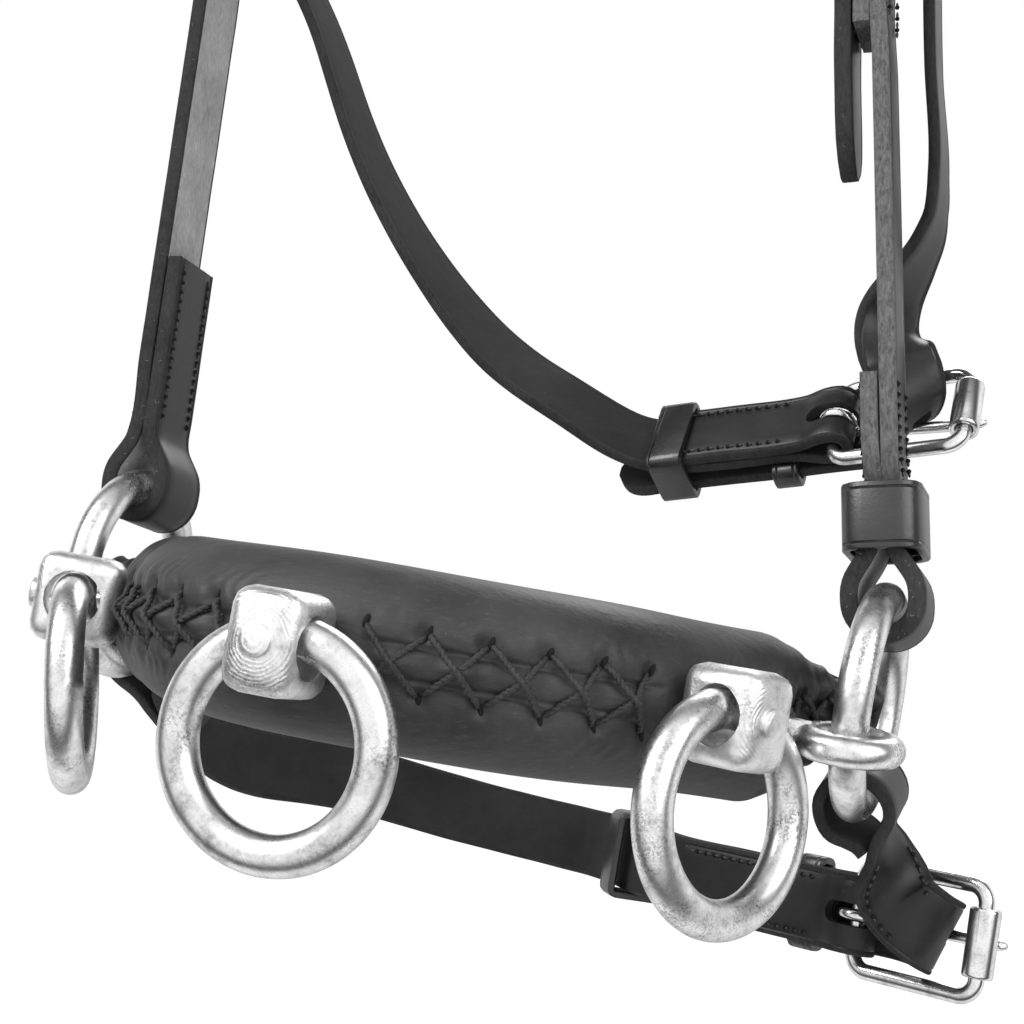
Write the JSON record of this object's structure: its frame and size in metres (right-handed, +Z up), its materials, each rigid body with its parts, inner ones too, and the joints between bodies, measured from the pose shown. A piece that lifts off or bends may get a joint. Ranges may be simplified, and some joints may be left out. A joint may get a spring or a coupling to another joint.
{
  "type": "lunging cavesson",
  "caption": "Leather lunging cavesson: padded noseband over a jointed iron with studs for swinging lunge rings, cheek rings, crown, jowl and chin straps with roller buckles.",
  "frame": {"origin": "the underside of the crown strap at the poll, on the flat stretch that rests on the horse's head", "axes": "+Z up, the horse facing -Y, +X towards the horse's near (left) side, where the buckles are"},
  "size_m": [0.2723, 0.249, 0.4889],
  "materials": {
    "black_leather": "satin",
    "bright_steel": "satin",
    "dark_iron": "matte",
    "wool_felt": "matte"
  },
  "bodies": {
    "headpiece": {"crown_strap": "black_leather", "near_cheek_strap": "black_leather", "crown_buckle_frame": "bright_steel", "jowl_strap": "black_leather", "jowl_billet": "black_leather", "jowl_fixed_keeper": "black_leather", "jowl_buckle_frame": "bright_steel"},
    "noseband": {"noseband_cover": "black_leather", "noseband_padding": "wool_felt", "nose_iron_centre": "dark_iron", "nose_iron_near": "dark_iron", "nose_iron_off": "dark_iron", "nose_hinge_pin_near": "bright_steel", "nose_hinge_pin_off": "bright_steel", "lunge_stud_centre": "bright_steel", "lunge_stud_near": "bright_steel", "lunge_stud_off": "bright_steel"},
    "ring_centre": {"lunge_ring_centre": "bright_steel"},
    "ring_near": {"lunge_ring_near": "bright_steel"},
    "ring_off": {"lunge_ring_off": "bright_steel"},
    "cheek_ring_near": {"cheek_ring_near": "bright_steel"},
    "cheek_ring_off": {"cheek_ring_off": "bright_steel"},
    "chin": {"chin_strap": "black_leather", "chin_billet": "black_leather", "chin_buckle_frame": "bright_steel", "chin_fixed_keeper": "black_leather", "chin_running_keeper": "black_leather"},
    "crown_roller": {"crown_buckle_roller": "bright_steel"},
    "crown_tongue": {"crown_buckle_tongue": "bright_steel"},
    "jowl_roller": {"jowl_buckle_roller": "bright_steel"},
    "jowl_tongue": {"jowl_buckle_tongue": "bright_steel"},
    "chin_roller": {"chin_buckle_roller": "bright_steel"},
    "chin_tongue": {"chin_buckle_tongue": "bright_steel"},
    "cheek_keeper": {"near_cheek_keeper": "black_leather"},
    "jowl_keeper": {"jowl_running_keeper": "black_leather"}
  },
  "joints": [
    {"name": "noseband_tilt", "type": "hinge", "parent": "headpiece", "child": "noseband", "pos_m": [-0.009, -0.04, -0.386], "axis": [0.9871, 0, -0.1599], "range_deg": [-12, 12]},
    {"name": "chin_strap_swing", "type": "hinge", "parent": "headpiece", "child": "chin", "pos_m": [-0.009, -0.04, -0.386], "axis": [0.9871, 0, -0.1599], "range_deg": [-12, 12]},
    {"name": "lunge_ring_centre_swing", "type": "hinge", "parent": "noseband", "child": "ring_centre", "pos_m": [-0.01155, -0.15912, -0.38797], "axis": [0.9871, 0, -0.1599], "range_deg": [-150, 12]},
    {"name": "lunge_ring_near_swing", "type": "hinge", "parent": "noseband", "child": "ring_near", "pos_m": [0.08032, -0.0967, -0.40639], "axis": [0.4421, 0.8887, -0.1219], "range_deg": [-150, 12]},
    {"name": "lunge_ring_off_swing", "type": "hinge", "parent": "noseband", "child": "ring_off", "pos_m": [-0.10454, -0.0967, -0.37645], "axis": [0.458, -0.8886, -0.0238], "range_deg": [-150, 12]},
    {"name": "cheek_ring_near_turn", "type": "hinge", "parent": "headpiece", "child": "cheek_ring_near", "pos_m": [0.10294, -0.04, -0.40413], "axis": [0.9871, 0, -0.1599], "continuous": true},
    {"name": "cheek_ring_off_turn", "type": "hinge", "parent": "headpiece", "child": "cheek_ring_off", "pos_m": [-0.12094, -0.04, -0.36787], "axis": [0.9871, 0, -0.1599], "continuous": true},
    {"name": "crown_tongue_lift", "type": "hinge", "parent": "headpiece", "child": "crown_tongue", "pos_m": [0.10182, -0.01247, -0.18795], "axis": [-0.0205, 0.9918, -0.1264], "range_deg": [-4, 0]},
    {"name": "jowl_tongue_lift", "type": "hinge", "parent": "headpiece", "child": "jowl_tongue", "pos_m": [0.087, 0.006, -0.325], "axis": [0.0392, 0.657, 0.7529], "range_deg": [0, 1.5]},
    {"name": "chin_tongue_lift", "type": "hinge", "parent": "chin", "child": "chin_tongue", "pos_m": [0.09422, -0.01034, -0.46426], "axis": [0.1456, 0.0994, 0.9843], "range_deg": [0, 2]},
    {"name": "crown_roller_turn", "type": "hinge", "parent": "headpiece", "child": "crown_roller", "pos_m": [0.10074, -0.00769, -0.15026], "axis": [-0.0205, 0.9918, -0.1264], "continuous": true},
    {"name": "jowl_roller_turn", "type": "hinge", "parent": "headpiece", "child": "jowl_roller", "pos_m": [0.12454, 0.00072, -0.32235], "axis": [0.0392, 0.657, 0.7529], "continuous": true},
    {"name": "chin_roller_turn", "type": "hinge", "parent": "chin", "child": "chin_roller", "pos_m": [0.12904, -0.0251, -0.46792], "axis": [0.1456, 0.0994, 0.9843], "continuous": true},
    {"name": "cheek_keeper_slide", "type": "slide", "parent": "headpiece", "child": "cheek_keeper", "axis": [0.0284, -0.1258, -0.9916], "range_m": [-0.03, 0]},
    {"name": "jowl_keeper_slide", "type": "slide", "parent": "headpiece", "child": "jowl_keeper", "axis": [-0.9879, 0.1388, -0.0698], "range_m": [-0.016, 0]}
  ]
}
